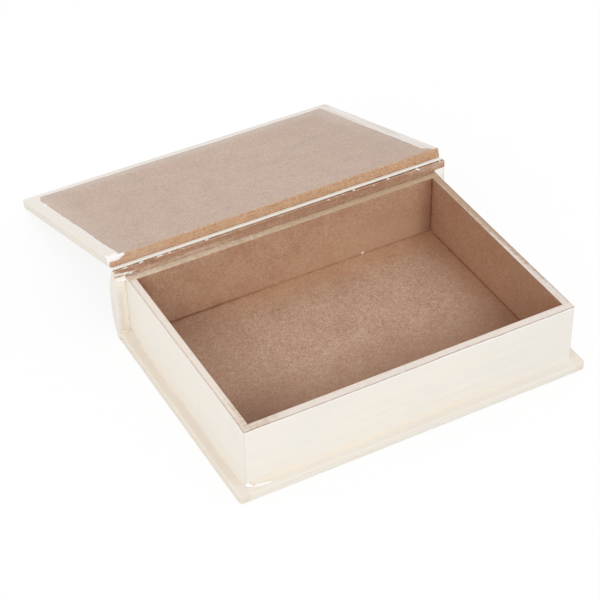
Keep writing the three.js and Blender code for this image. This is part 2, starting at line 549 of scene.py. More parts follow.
def board(low, high, radius, low_arris, high_arris, seed, sawn_side=0.0):
    """A cover board as a bmesh, lying flat between two corners of its box. Each face has its own arris.

    The upper arris is left sharper along the sawn side, which is the one at the high end of y.
    """
    length, depth, thickness = high - low
    middle = (low + high) / 2
    innermost = radius - 0.3
    profile = []
    for arris, from_face in ((low_arris, 1), (high_arris, -1)):
        arc = [pi / 2 * k / 5 for k in range(6)]
        levels = [(innermost, 0.0), (arris + 0.6, 0.0)]
        levels += [(arris * (1 - sin(a)), arris * (1 - cos(a))) for a in arc]
        if from_face > 0:
            profile += [(inset, z, arris, 0.0) for inset, z in levels]
            profile += [(0.0, thickness * share, arris, 0.0) for share in (0.30, 0.5, 0.70)]
        else:
            profile += [(inset, thickness - z, arris, sawn_side) for inset, z in reversed(levels)]
    rings = []
    for inset, z, arris, sharp in profile:
        edge = 1.0 if inset < arris else max(0.0, 1 - (inset - arris) / (innermost - arris))
        ring = []
        for place, outward in board_outline(length, depth, radius):
            spot = Vector((place.x, place.y, z))
            shift = wander(spot, (23, 0.16, seed), (4.5, 0.07, seed + 3))
            drawn_in = inset * (1 - sharp * max(0.0, outward.y) ** 3)
            flat = place - outward * (drawn_in - edge * shift + 0.08 * edge)
            lift = 0.0
            if 0 < inset < arris + 0.2:
                lift = wander(spot, (6, 0.07, seed + 5)) * (1 if z < thickness / 2 else -1)
            ring.append(Vector((flat.x, flat.y + middle.y, low.z + z + lift)))
        rings.append(ring)
    made = bmesh.new()
    skin(made, rings)
    return made


# %% [markdown]
# The bottom cover is painted all over except inside the tray, where it is the bare floor. The tray's foot
# leaves a ledge of it showing on three sides. Along the foot the paint is thin and a warm tan shows, and
# inside the tray dust and shadow darken the joint between floor and walls. Painted shade darkens the floor
# towards the front wall and the ends, most in the front-left corner.

# %% Finish of the bottom cover
FLOOR_TONES = paint(188, 150, 125), paint(221, 192, 168), paint(140, 102, 78)
# Painted shade on the floor by the tail wall.
FLOOR_TAIL_SHADE = paint(162, 108, 66)
FLOOR_WARM = paint(220, 166, 124)
FLOOR_SHADE = paint(126, 98, 88)
SEAM = paint(126, 62, 28)
TAN = paint(226, 213, 199)
END_CREAM = paint(234, 225, 210)
LEDGE_GREY = paint(233, 227, 216)
PEACH = paint(248, 236, 220)
CHALK = paint(248, 245, 240)

PAINT_ROUGHNESS, BARE_ROUGHNESS = 0.62, 0.85

cover_end = COVER_LENGTH / 2
half_x = TRAY_LENGTH / 2
inner_x = half_x - WALL_THICKNESS
inner_y = TRAY_BACK - WALL_THICKNESS


def bottom_cover_finish():
    f = Finish("painted_bottom_cover")
    place, facing = f.place(), f.facing()
    x, y, z = f.split(place)
    top = f.rise(0.3, 0.7, f.split(facing)[2])
    rough = f.noise(place / 2.2, detail=3) - 0.5
    soft = f.noise(place / 14, detail=3) - 0.5

    # Paint on the ledge round the tray and on the sides.
    colour, height = cream_paint(f, place, facing, ends_from=half_x, streaks=0.6)
    out = f.most(abs(x) - half_x, abs(y) - TRAY_BACK)
    at_ends = f.rise(half_x - 0.5, half_x + 0.8, abs(x))
    reach = out + soft * 4 + rough * 0.8
    thin_at_ends = (0.33 + 0.37 * f.rise(0.4, 2.8, reach)) * (1 - 0.45 * f.rise(7.2, 8.4, reach))
    thin_at_ends = thin_at_ends * (1 - 0.55 * f.rise(72, 88, y) - 0.40 * f.rise(-76, -90, y))
    thin_in_front = 0.18 + 0.30 * f.rise(0.8, 6.5, reach) + 0.20 * f.rise(-60, 120, x)
    ledge = top * f.rise(-1.5, 0.0, out) * f.blend(at_ends, thin_in_front, thin_at_ends)
    side = (1 - top) * f.blend(at_ends, 0.20 + 0.12 * f.rise(-60, 120, x), 0.85)
    joint = f.rise(2.4, 0.0, out + rough * 1.6) * top * (1 - at_ends) * f.rise(130, -10, x)
    colour = f.coats(
        colour,
        (ledge, f.tint(at_ends, LEDGE_GREY, TAN)),
        (side, f.tint(at_ends, LEDGE_GREY, END_CREAM)),
        (joint * 0.5, PEACH),
        (f.rise(1.1, 0.2, z + rough * 0.5) * 0.25, TAN),
    )

    # The bare floor, with painted shade towards the front wall and the ends, most in the front-left corner,
    # and its joint with the walls.
    bare, bare_height = fibreboard(f, place, FLOOR_TONES, contrast=1.1)
    to_wall = f.least(inner_x - abs(x), inner_y - abs(y))
    painted_floor_shade = 0.01 + f.rise(8, -52, y) * 0.60 + f.rise(60, 116, x) * 0.18
    painted_floor_shade = painted_floor_shade + f.rise(-40, -80, x) * 0.20 + f.rise(-98, -116, x) * 0.10
    painted_floor_shade = painted_floor_shade + f.rise(34, 66, y) * f.rise(60, 20, x) * 0.08
    patchy = f.rise(0.35, 0.6, f.noise(place / 9, detail=2))
    at_back = f.rise(inner_y - 8, inner_y - 5, y)
    at_tail = f.rise(inner_x - 8, inner_x - 5, x)
    to_head = f.rise(10, -80, x)
    strength = f.blend(at_back, 0.42 + 0.28 * at_tail, 0.18 + 0.20 * patchy + 0.34 * to_head)
    strength = strength * (0.35 + 0.65 * f.rise(0.0, 0.9, to_wall))
    width = f.blend(at_back, 1.5 + 0.6 * at_tail, 2.2 + 1.5 * to_head)
    bare = f.coats(
        bare,
        (f.rise(54, 84, y) * f.rise(-95, -25, x) * 0.36, FLOOR_WARM),
        (f.rise(92, 120, x) * 0.44, FLOOR_TAIL_SHADE),
        (painted_floor_shade + soft * 0.2, FLOOR_TONES[2]),
        (f.rise(10, -75, y) * f.rise(-30, -112, x) * 0.45, FLOOR_SHADE),
        (f.rise(width, width * 0.35, to_wall + rough * (1.0 + 1.8 * at_back)) * strength, SEAM),
    )
    inside = f.rise(-2.5, -1.5, to_wall) * top
    roughness = f.blend(inside, PAINT_ROUGHNESS, BARE_ROUGHNESS)
    return f.close(f.tint(inside, colour, bare), roughness, f.blend(inside, height + 0.1, bare_height))


bottom_finish = bottom_cover_finish()

# %% Bottom cover
bottom = board(cover_low, cover_high, radius=3.0, low_arris=1.2, high_arris=1.2, seed=1.0)
piece("bottom_cover_board", bottom, bottom_finish, "box", "bottom_cover")

# %% [markdown]
# ## Tray walls
#
# The walls are strips of board set on the cover: the two long ones run through and the short ones fit
# between them. Their tops were sanded after painting, so the white is rubbed thin there, a brown line shows
# along the outer arris, and just below it the paint has run into a small bead. All that follows the
# section of the wall, so a wall is its section swept along its length.

# %% Section of a wall
TOP_ARRIS_OUT = 0.55
TOP_ARRIS_IN = 0.3
BEAD_DROP, BEAD_HALF = 1.35, 0.5
FOOT_FLARE = 0.9
LEAN = -0.8


def foot_share(height):
    """1 at a wall's foot and 0 at its top."""
    return (TRAY_TOP - height) / (TRAY_TOP - COVER_THICKNESS)


def wall_section():
    """Outline of a wall: a is the distance out from its inner face, b the height above the table."""
    foot, top, out = COVER_THICKNESS, TRAY_TOP, WALL_THICKNESS
    corners = [
        (0, foot, 0),
        (0, top - 1.2, 0),
        (0, top, TOP_ARRIS_IN),
        (1.2, top, 0),
        (out - 1.3, top, 0),
        (out, top, TOP_ARRIS_OUT),
        (out, top - 1.0, 0),
        (out, top - BEAD_DROP, 0),
        (out, top - 1.7, 0),
        (out, top - 2.6, 0),
        (out, foot + 1.6, 0),
        (out, foot + 0.8, 0),
        (out, foot + 0.35, 0),
        (out, foot, 0),
    ]
    return softened(corners, steps=4, longest=3.0)


def wall(name, length, to_space, material, node, end_arris, bead=True):
    """A wall swept along its length. to_space(along, a, b) puts a point of the section in its place."""
    section = wall_section()
    rings = []
    for along, inset in stations(length, step=2.0, arris=end_arris):
        ring = []
        for point in section:
            a, b = point.x, point.y
            spot = to_space(along, a, b)
            outer_face = a > 0.95 * WALL_THICKNESS
            a -= inset * (1 if a > 0.5 * WALL_THICKNESS else -0.2)
            if b > TRAY_TOP - 1:
                b -= inset + 0.05 + wander(spot, (11, 0.08, 8), (2.8, 0.04, 9))
            elif outer_face and bead:
                near_bead = max(0.0, 1 - abs(TRAY_TOP - b - BEAD_DROP) / BEAD_HALF)
                a += max(0.0, 0.10 + wander(spot, (9, 0.12, 4))) * near_bead
                a += 0.28 * max(0.0, 1 - (b - COVER_THICKNESS) / FOOT_FLARE) ** 2
                a += wander(spot, (30, 0.05, 6)) - 0.03
            set_at = to_space(along, a, b)
            set_at.x += LEAN * ease(-100, -half_x, set_at.x) * ease(-10, TRAY_FRONT, set_at.y) * foot_share(b)
            ring.append(set_at)
        rings.append(ring)
    made = bmesh.new()
    skin(made, rings)
    return piece(name, made, material, "box", node)


print("wall section of", len(wall_section()), "points")

# %% Finish of the walls
# The bare walls' grounds are partly the board's own tone and partly painted light and shade: the back wall's
# is lighter where it faces the lamp, and the other walls' are darker.
BACK_TONES = paint(203, 162, 133), paint(231, 198, 169), paint(156, 115, 88)
HEAD_TONES = paint(175, 141, 120), paint(205, 173, 152), paint(138, 104, 84)
TAIL_TONES = paint(176, 134, 106), paint(203, 164, 135), paint(145, 102, 75)
FORE_TONES = paint(181, 142, 117), paint(208, 172, 147), paint(146, 106, 82)
LINE_MAUVE = paint(164, 136, 124)
ARRIS_RED = paint(146, 100, 80)
RIM_RED = paint(122, 78, 62)
JOINT_BROWN = paint(138, 101, 75)
RUSSET = paint(186, 130, 98)
# Painted shade in the back wall's lower corner by the tail wall.
CORNER_SHADE_RED = paint(148, 94, 60)
CORNER_DARK = paint(100, 52, 32)
# Thick paint and a painted highlight on the bead's ridge.
BEAD_HIGHLIGHT_WHITE = paint(252, 251, 246)
CORNER_GREY = paint(224, 221, 209)


def rubbed_top(f, x, y, across, wash, worn, share):
    """Colour of a wall's top edge, where the white wash is rubbed through to the board."""
    grain = f.noise(((x + y) / 18, across / 0.8, 2.0), detail=3, roughness=0.65)
    blot = f.noise((x / 4, y / 4, 1.0), detail=4, roughness=0.65)
    amount = share + (grain - 0.5) * 1.1 + (blot - 0.5) * 1.1
    return f.tint(f.rise(0.05, 0.85, amount), worn, wash)


def wall_finish(name, tones, wash, worn, left, rim, line_at=(), line=0.0, painted=True, corner=2.2):
    """Finish of one wall.

    Left is how much wash is left on the top, from 0 to about 1, and line_at how far the brown line is from
    the inner face, measured over the top and down the outer face. Both are a start and terms for ramps
    along x, along y or out from the inner face. Line is how strong the line is, and rim how dark the inner
    arris is. A painted wall is cream outside. Its joint with the next wall is dark as far as corner from it.
    """
    f = Finish(name)
    place, facing = f.place(), f.facing()
    x, y, z = f.split(place)
    across = f.most(abs(x) - inner_x, abs(y) - inner_y)
    ways = {"x": x, "y": y, "out": across}
    rough = f.noise(place / 2.6, detail=3) - 0.5
    side = f.rise(0.5, 0.8, abs(f.split(facing)[0]))
    outside = f.rise(WALL_THICKNESS - 0.7, WALL_THICKNESS - 0.2, across if painted else abs(x) - inner_x)

    # Paint outside, with the bead under the rim, whiter than the cream: thick paint and a painted highlight
    # along its ridge.
    colour, height = cream_paint(f, place, facing, streaks=f.blend(side, 0.5, 0.25))
    curtain = f.noise(((x + y) / 7, z / 30, 3.0), detail=2)
    bead = f.rise(TRAY_TOP - 2.6, TRAY_TOP - 1.8, z + rough * 0.7) * outside
    above_cover = z + rough * 1.6
    front_foot = f.rise(COVER_THICKNESS + 3.0, COVER_THICKNESS + 0.8, above_cover) * f.rise(150, -10, x)
    upright_edge = f.rise(half_x - 0.9, half_x - 0.4, abs(x))
    upright_edge = upright_edge * f.rise(TRAY_BACK - 0.9, TRAY_BACK - 0.4, abs(y))
    colour = f.coats(
        colour,
        (f.rise(0.5, 0.7, curtain) * side * 0.2, CREAM_DEEP),
        (f.rise(10, 110, x) * (1 - side) * 0.45, CREAM_COOL),
        (f.rise(70, -10, x) * (1 - side) * 0.35, CREAM_PALE),
        (bead * f.blend(side, 0.8, 0.45), BEAD_HIGHLIGHT_WHITE),
        (front_foot * (1 - side) * 0.55, PEACH),
        (f.rise(COVER_THICKNESS + 4.2, COVER_THICKNESS, above_cover) * side * 0.10, TAN),
        (upright_edge * 0.5, CORNER_GREY),
    )

    # Bare board inside, darker in the joints and under the rim. On the back wall a painted shade darkens and
    # reddens the lower part by the tail corner, and painted light pales the lower part towards the right.
    bare, bare_height = fibreboard(f, place, tones, contrast=1.1 if painted else 1.25)
    from_corner = f.most(inner_x - abs(x), inner_y - abs(y))
    upright = f.rise(corner, 0.0, from_corner + rough * 3.2)
    floor_seam = f.rise(COVER_THICKNESS + 1.2, COVER_THICKNESS + 0.3, z + rough * 1.2)
    joints = f.most(upright * (0.55 if painted else 0.40), floor_seam * (0.2 if painted else 0.04))
    drift = f.noise(place / 21, detail=3)
    low_part = f.rise(COVER_THICKNESS + 26, COVER_THICKNESS + 4, z)
    layers = [(f.rise(0.46, 0.66, drift) * 0.22, RUSSET), (low_part * f.rise(-70, 60, x) * 0.16, tones[1])]
    if not painted:
        low_down = 0.08 + 0.92 * f.rise(TRAY_TOP - 12, TRAY_TOP - 30, z)
        lit_part = f.rise(COVER_THICKNESS + 46, COVER_THICKNESS + 26, z) * f.rise(-30, 90, x)
        layers.append((f.rise(101, 118, x) * low_down * 0.46, CORNER_SHADE_RED))
        layers.append((lit_part * 0.20 + f.rise(TRAY_TOP - 18, TRAY_TOP - 32, z) * 0.09, tones[1]))
    layers += [(f.rise(TRAY_TOP - 26, TRAY_TOP - 4, z) * 0.10, tones[2]), (joints, SEAM)]
    if not painted:
        layers.append((f.rise(1.7, 0.5, inner_x - x + rough * 2.6) * 0.46, CORNER_DARK))
    layers.append((f.rise(TRAY_TOP - 1.3, TRAY_TOP - 0.5, z + rough * 0.8) * rim, RIM_RED))
    bare = f.coats(bare, *layers)

    # The rubbed top, and the brown line along it.
    top = f.rise(TRAY_TOP - 0.62, TRAY_TOP - 0.35, z) * f.rise(-0.1, 0.2, across)
    rubbed = rubbed_top(f, x, y, across, wash, worn, f.ramps(ways, *left))
    rubbed = f.tint(f.rise(0.55, 0.15, across + rough * 0.4) * rim, rubbed, RIM_RED)
    whole = f.coats(bare, (outside, colour), (top, rubbed))
    if painted:
        over = across + f.most(TRAY_TOP - z, 0.0)
        wave = f.noise((x / 30, y / 30, 8.0), detail=3) - 0.5
        off_line = abs(over + wave * 1.2 + rough * 0.5 - f.ramps(ways, *line_at))
        broken = f.rise(0.30, 0.52, f.noise((x / 7, y / 7, 5.0), detail=3))
        drawn = f.rise(0.85, 0.35, off_line) * f.rise(1.0, 2.0, across)
        line_tone = f.tint(f.rise(inner_x - 1.0, inner_x, x), LINE_MAUVE, ARRIS_RED)
        whole = f.tint(drawn * (0.45 + 0.55 * broken) * line, whole, line_tone)
    else:
        hidden_side = f.rise(4.8, 5.7, across) * f.rise(TRAY_TOP - 0.9, TRAY_TOP - 0.4, z)
        whole = f.tint(hidden_side * (0.15 + 0.45 * f.rise(-60, 70, x)), whole, JOINT_BROWN)
    roughness = f.blend(outside, BARE_ROUGHNESS, PAINT_ROUGHNESS)
    return f.close(whole, roughness, f.blend(outside, bare_height, height))


back_finish = wall_finish(
    "bare_back_wall", BACK_TONES, wash=paint(233, 219, 199), worn=paint(195, 168, 140),
    left=(0.17, (0.19, ("x", 50, -60)), (-0.12, ("x", 40, 100)), (0.16, ("x", -85, -116))),
    rim=0.0, painted=False, corner=14.0,
)
fore_finish = wall_finish(
    "painted_fore_edge", FORE_TONES, wash=paint(231, 220, 210), worn=paint(200, 172, 145),
    left=(0.42, (0.34, ("x", -112, -88)), (0.08, ("out", 0.8, 3.5))), rim=0.35, line=0.62,
    line_at=(6.15, (0.35, ("x", -105, -85), ("x", 10, -20)), (-0.4, ("x", 12, 24), ("x", 66, 56))),
)
head_finish = wall_finish(
    "painted_head", HEAD_TONES, wash=paint(235, 223, 211), worn=paint(200, 172, 147),
    left=(0.44, (0.34, ("y", -88, -30)), (0.16, ("out", 1.5, 4.0))), rim=0.20, line=0.38, line_at=(5.2,),
)
tail_finish = wall_finish(
    "painted_tail", TAIL_TONES, wash=paint(226, 216, 208), worn=paint(184, 155, 131),
    left=(
        0.13, (0.66, ("y", 80, -55)), (0.5, ("out", 5.2, 5.7), ("y", 86, 58)),
        (-0.5, ("out", 1.0, 4.6), ("y", -75, -35), ("out", 5.6, 5.0)),
    ),
    rim=0.30, line=0.50, line_at=(5.5,),
)

# %% The four walls
end_length = 2 * inner_y
wall(
    "tray_wall_fore_edge", TRAY_LENGTH, lambda s, a, b: Vector((s, -inner_y - a, b)),
    fore_finish, "fore_edge_wall", 0.5,
)
wall(
    "tray_wall_back", TRAY_LENGTH, lambda s, a, b: Vector((s, inner_y + a, b)),
    back_finish, "back_wall", 0.5, bead=False,
)
wall(
    "tray_wall_head", end_length, lambda s, a, b: Vector((-inner_x - a, s, b)),
    head_finish, "head_wall", 0.0,
)
wall(
    "tray_wall_tail", end_length, lambda s, a, b: Vector((inner_x + a, s, b)),
    tail_finish, "tail_wall", 0.0,
)

# %% [markdown]
# ## Spine
#
# The spine is a strip of moulding, flat where it meets the tray and round outside, like the back of a
# bound book. Its round face is one arc from edge to edge. It is painted outside and at the ends. Its inner
# face shows above the tray as a brown band, with white brush marks at the ends.

# %% Finish of the spine
BAND_TONES = paint(187, 146, 118), paint(220, 185, 158), paint(138, 97, 72)
RECESS_HIGH = paint(252, 244, 230)
RECESS_LOW = paint(236, 225, 213)
# White paint pushed to near pure white, a painted highlight.
RECESS_TAIL_HIGHLIGHT = paint(253, 252, 250)
UMBER = paint(128, 84, 58)
DUSTY = paint(222, 198, 176)
# Partly the bare top edge and partly painted shadow under the tape.
EDGE_AND_SHADOW_BROWN = paint(118, 68, 40)


def spine_finish():
    f = Finish("painted_spine")
    place, facing = f.place(), f.facing()
    x, y, z = f.split(place)
    rough = f.noise(place / 2.4, detail=3) - 0.5
    colour, height = cream_paint(f, place, facing, streaks=0.6)
    bare, bare_height = fibreboard(f, place, BAND_TONES)
    at_head, at_tail = f.rise(-92, -126, x), f.rise(88, 126, x)
    top_edge = f.rise(spine_high.z - 0.7, spine_high.z - 0.35, z)

    # The brown band over the back wall, with its dusty rows, smudges and white brush marks. A painted shade
    # darkens a line just above the wall at the head end and the band's upper middle. On the top edge under
    # the tape a brown line is partly bare board and partly painted shadow.
    dusty = f.noise((x / 5, y / 3, z / 1.8 + 9), detail=4, roughness=0.7)
    low_row = f.rise(59.0, 57.4, z) * f.rise(-24, -66, x)
    high_row = f.rise(57.2, 59.2, z) * f.rise(98, 110, x)
    joint_shade_line = f.rise(55.4, 55.9, z) * f.rise(57.4, 56.8, z) * f.rise(-112, -122, x)
    smudge = f.noise((x / 14, y / 3, z / 1.6 + 20), detail=4, roughness=0.7)
    darks = f.rise(0.56, 0.68, smudge + 0.06 * at_head * f.rise(59.0, 60.0, z) + 0.4 * joint_shade_line)
    shaded = f.rise(59.2, 60.4, z) * f.rise(-84, -62, x) * f.rise(76, 58, x)
    gap = f.rise(0.44, 0.58, f.noise((x / 16, 0.0, 3.0), detail=3) + 0.14 * f.rise(0, 80, x))
    under_tape = f.rise(TRAY_BACK + 0.9, TRAY_BACK + 1.4, y + rough * 0.5) * top_edge
    dab = f.noise((x / 5, y / 3, z / 0.7 + x / 9), detail=4, roughness=0.75)
    sloping = z + (x + 124) * 0.17
    streaks = f.rise(56.2, 56.8, sloping) * f.rise(59.0, 58.3, sloping) * f.rise(-115, -123, x)
    under = f.rise(55.4, 54.6, z) * f.rise(-120, -126, x)
    flecks = top_edge * (0.04 + 0.01 * at_head + 0.02 * at_tail)
    whites = f.rise(0.66, 0.71, dab + 0.20 * streaks + 0.16 * under + flecks + 0.05 * at_head)
    bare = f.coats(
        bare,
        (f.rise(0.34, 0.60, dusty) * (low_row * 0.78 + high_row * 0.58), DUSTY),
        (f.most(darks * 0.6, shaded * 0.10), UMBER),
        (under_tape * (0.12 + 0.30 * gap + 0.46 * f.rise(20, 90, x)), EDGE_AND_SHADOW_BROWN),
        (whites * 0.8, CHALK),
    )

    # Where the band is: on the inner face above the wall, and on the top edge as far as the tape.
    inner = f.rise(TRAY_BACK + 0.45, TRAY_BACK + 0.15, y)
    beyond = f.rise(half_x - 0.5, half_x + 0.2, abs(x))
    lower = TRAY_TOP - 1.0 + 2.0 * beyond
    above = f.rise(lower, lower + 1.2, z + rough * 2.0)
    white_edge = f.rise(TRAY_BACK + 2.05, TRAY_BACK + 2.35, y + rough * 0.4)
    band = f.most(inner * above, top_edge * (1 - white_edge))
    band = band * f.rise(cover_end, cover_end - 0.6, abs(x) + rough * 0.8)

    # The recess beside the tray at each end: lighter at the top and next to the wall, darker lower down. At
    # the tail end its white paint is pushed to near pure white, a painted highlight.
    cloudy = f.noise(place / 7, detail=3) - 0.5
    hollow = f.rise(cover_end - 0.6, cover_end - 3.4, abs(x) + cloudy * 3)
    recess = f.coats(
        RECESS_HIGH,
        (f.rise(52, 36, z + cloudy * 14), RECESS_LOW),
        (f.rise(half_x + 5.0, half_x + 0.6, abs(x) + cloudy * 3) * 0.75, RECESS_HIGH),
        (f.rise(-1, 1, x), RECESS_TAIL_HIGHLIGHT),
    )
    whole = f.coats(colour, (inner * beyond * hollow * 0.9, recess), (band, bare))
    return f.close(whole, f.blend(band, PAINT_ROUGHNESS, BARE_ROUGHNESS), f.blend(band, height, bare_height))


spine_paint = spine_finish()

# %% Spine
SPINE_EDGE = 2.4
SPINE_ARRIS = 0.6
bulge = spine_high.y - spine_low.y - SPINE_EDGE
spine_middle = (spine_low.z + spine_high.z) / 2
half_height = (spine_high.z - spine_low.z) / 2
spine_radius = (half_height**2 + bulge**2) / (2 * bulge)
spine_centre_y = spine_high.y - spine_radius
half_arc = asin(half_height / spine_radius)
print(f"spine radius {spine_radius:.2f}, centre at y {spine_centre_y:.2f}")


def spine_section():
    arc = [-half_arc + 2 * half_arc * k / 30 for k in range(1, 30)]
    corners = [(spine_low.y, spine_low.z, 0.35), (spine_low.y + SPINE_EDGE, spine_low.z, 0.7)]
    for a in arc:
        corners.append((spine_centre_y + spine_radius * cos(a), spine_middle + spine_radius * sin(a), 0))
    corners += [(spine_low.y + SPINE_EDGE, spine_high.z, 0.5), (spine_low.y, spine_high.z, 0.3)]
    corners += [(spine_low.y, spine_high.z - 1.5, 0)]
    return softened(corners, steps=4, longest=3.0)


rings = []
section = spine_section()
core = Vector((spine_low.y + 4.0, spine_middle))
for along, inset in stations(COVER_LENGTH, step=2.5, arris=SPINE_ARRIS):
    ring = []
    for point in section:
        spot = Vector((along, point.x, point.y))
        inward = (core - point).normalized()
        shift = inset + (0.03 + wander(spot, (24, 0.07, 11)) if point.x > spine_low.y + 0.5 else 0.0)
        moved = point + inward * shift
        end_wave = wander(spot, (8, 0.04, 12)) if abs(along) > cover_end - 1.5 else 0.0
        ring.append(Vector((along + end_wave, max(moved.x, spine_low.y), moved.y)))
    rings.append(ring)
spine_mesh = bmesh.new()
skin(spine_mesh, rings)
piece("book_spine", spine_mesh, spine_paint, "box", "spine")

# %% [markdown]
# ## Lid
#
# The lid is modelled as if the box were closed, measured from the hinge line, and then the whole object is
# folded back about that line, as the real lid is. Its own frame travels with it, so the paint border keeps
# its place on the board in every pose. Painting the edges left a wavy border on the inner face: 9 mm at the
# two ends, a little less at the fore edge, and none at the hinge, where the sawn edge stayed bare.

# %% The lid's own frame
LID_FRAME = Matrix.Translation(Vector((0, HINGE_Y, HINGE_Z)) * MM) @ Matrix.Rotation(-LID_TURN, 4, "X")
to_lid = LID_FRAME.inverted()
lid_points = [to_lid @ v.co / MM for v in frame["nodes"]["lid_board"].data.vertices]
lid_low = Vector((min(p[i] for p in lid_points) for i in range(3)))
lid_high = Vector((max(p[i] for p in lid_points) for i in range(3)))
print("lid board from", [round(c, 2) for c in lid_low], "to", [round(c, 2) for c in lid_high])

# %% Finish of the lid
# The inner face's ground is lighter and pinker than the floor's: partly the board's own tone and partly
# painted light and sheen, where the face tilts up to the light.
LID_TONES = paint(198, 175, 160), paint(219, 198, 183), paint(166, 141, 126)
SAWN_TONES = paint(203, 163, 128), paint(234, 201, 167), paint(152, 108, 74)
SAWN_RED = paint(170, 118, 82)
SAWN_GREY = paint(206, 172, 152)
ROSE = paint(206, 176, 163)
STONE = paint(178, 157, 145)
HAZE = paint(226, 216, 208)
BORDER_LILAC = paint(240, 232, 230)
BORDER_CREAM = paint(238, 231, 220)
BORDER_GREY = paint(219, 212, 202)
BORDER_SAND = paint(229, 223, 213)
DAUB_WHITE = paint(253, 251, 249)
BORDER_HEAD, BORDER_TAIL, BORDER_FORE = 9.35, 8.9, 7.7


def lid_finish():
    f = Finish("painted_lid")
    place, facing = f.place(), f.facing()
    x, y, z = f.split(place)
    inner_face = f.rise(-0.5, -0.8, f.split(facing)[2])
    brushed_from = lid_high.x - 14 + 100 * (1 - inner_face)
    colour, height = cream_paint(f, place, facing, ends_from=brushed_from, streaks=0.6)
    wave = f.noise(place / 13, detail=3, roughness=0.6) - 0.5
    nick = f.noise(place / 2.2, detail=2) - 0.5

    # How far inside the painted border a point of the inner face is.
    slack = wave * 2.6 + nick * 1.0
    from_head = x - lid_low.x - BORDER_HEAD
    from_tail = lid_high.x - x - BORDER_TAIL
    from_fore = y - lid_low.y - BORDER_FORE
    flare = f.rise(12, -1, from_fore) * 3.0
    tuck = f.rise(-16, -6, y) * 4.0
    wide = f.rise(-40, 0, x) * f.rise(80, 50, x) * 0.5
    inside = f.least(f.least(from_head - flare, from_tail + tuck), from_fore - wide) + slack

    # Paint of the border and of the sides.
    patches = f.noise(place / 7, detail=3, roughness=0.6)
    mixed_share = f.rise(0.40, 0.62, patches + f.rise(-128, -134, x) * 0.2)
    side = (1 - inner_face) * f.rise(lid_high.z - 0.2, lid_high.z - 0.8, z)
    stripe = f.noise((x / 1.2, y / 60, 2.0), detail=2)
    on_inner_side = f.rise(lid_low.z + 3.5, lid_low.z + 1.5, z)
    at_tail = f.rise(lid_high.x - 13, lid_high.x - 10, x) * on_inner_side
    at_fore = f.rise(lid_low.y + 10, lid_low.y + 6, y) * on_inner_side
    at_fore = at_fore * f.rise(-110, -40, x) * f.rise(-1.5, -4.0, from_fore)
    border = f.coats(BORDER_LILAC, (mixed_share, BORDER_CREAM), (side, BORDER_CREAM))
    colour = f.coats(
        colour,
        (f.most(inner_face, side) * 0.85, border),
        (at_tail * 0.85, f.tint(f.rise(0.42, 0.58, stripe), BORDER_GREY, BORDER_LILAC)),
        (at_fore * 0.85, BORDER_SAND),
    )

    # Bare board of the inner face, on a ground lightened partly by painted light and sheen, hazy with paint
    # dust near the border.
    bare, bare_height = fibreboard(f, place, LID_TONES, contrast=1.3)
    drift = f.noise(place / 19, detail=3, roughness=0.55)
    haze = f.rise(20, 1, inside + (patches - 0.5) * 16) * (0.06 + 0.24 * f.rise(-20, -180, y))
    bare = f.coats(
        bare,
        (f.rise(0.48, 0.70, drift) * 0.30, ROSE),
        (f.rise(0.50, 0.32, drift) * 0.18 + f.rise(20, 125, x) * 0.22, STONE),
        (haze, HAZE),
        (f.rise(1.2, 0.2, inside) * 0.25, LID_TONES[2]),
    )

    # The sawn edge by the hinge, with its grain and the crumbs along its outer arris.
    sawn = fibreboard(f, place, SAWN_TONES)[0]
    grain = f.noise((x / 9, 0.0, z / 0.9), detail=4, roughness=0.65)
    reddish = f.rise(-105, -132, x) * 0.12 + f.rise(lid_high.z - 4.6, lid_high.z - 1.6, z) * 0.18
    crumbs = f.rise(0.42, 0.60, f.noise((x / 5, 0.0, 9.0), detail=3))
    sawn = f.coats(
        sawn,
        (f.rise(0.45, 0.33, grain) * (0.50 + 0.25 * f.rise(-80, -125, x)), SAWN_TONES[2]),
        (f.rise(0.56, 0.68, grain) * 0.40, SAWN_TONES[1]),
        (reddish, SAWN_RED),
        (f.rise(-78, -112, x) * 0.30, SAWN_GREY),
        (f.rise(lid_high.z - 1.3, lid_high.z - 0.3, z + nick) * (0.12 + 0.36 * crumbs), UMBER),
    )
    hump = f.rise(-124, -116, x) * f.rise(-92, -102, x) * 0.9
    edge = f.rise(lid_high.y - 1.6, lid_high.y - 1.0, y + nick * 1.2 + wave * 1.6 + hump)
    ends = f.rise(lid_high.x - 0.3, lid_high.x - 0.9, abs(x) + nick * 1.0)
    outer_face = f.rise(lid_high.z - 0.02, lid_high.z - 0.18, z + nick * 0.3)
    sawn_edge = edge * ends * outer_face

    # The daub of white on the corner of that edge.
    thick_part = f.rise(lid_high.z - 4.0, lid_high.z - 4.6, z + nick * 1.0 + wave * 1.6)
    near_edge = f.rise(lid_high.y - 3.4, lid_high.y - 2.4, y + nick * 1.2 + wave * 2.0)
    slanted = x + nick * 1.6 + wave * 2.0 + f.rise(lid_high.z - 7.0, lid_high.z - 4.2, z) * 5.0
    daub = f.rise(-121.2, -123.2, slanted) * thick_part * near_edge

    bare_inner = f.rise(0.0, 0.35, inside) * inner_face
    whole = f.coats(colour, (bare_inner, bare), (sawn_edge, sawn), (daub * 0.95, DAUB_WHITE))
    bare_mask = f.most(bare_inner, sawn_edge)
    roughness = f.blend(bare_mask, PAINT_ROUGHNESS, BARE_ROUGHNESS)
    return f.close(whole, roughness, f.blend(bare_mask, height + 0.12, bare_height))


lid_paint = lid_finish()

# %% Lid board
lid_mesh = board(lid_low, lid_high, radius=2.4, low_arris=0.85, high_arris=0.6, seed=5.0, sawn_side=0.7)
piece("lid_cover_board", lid_mesh, lid_paint, "lid", "lid_board", LID_FRAME)

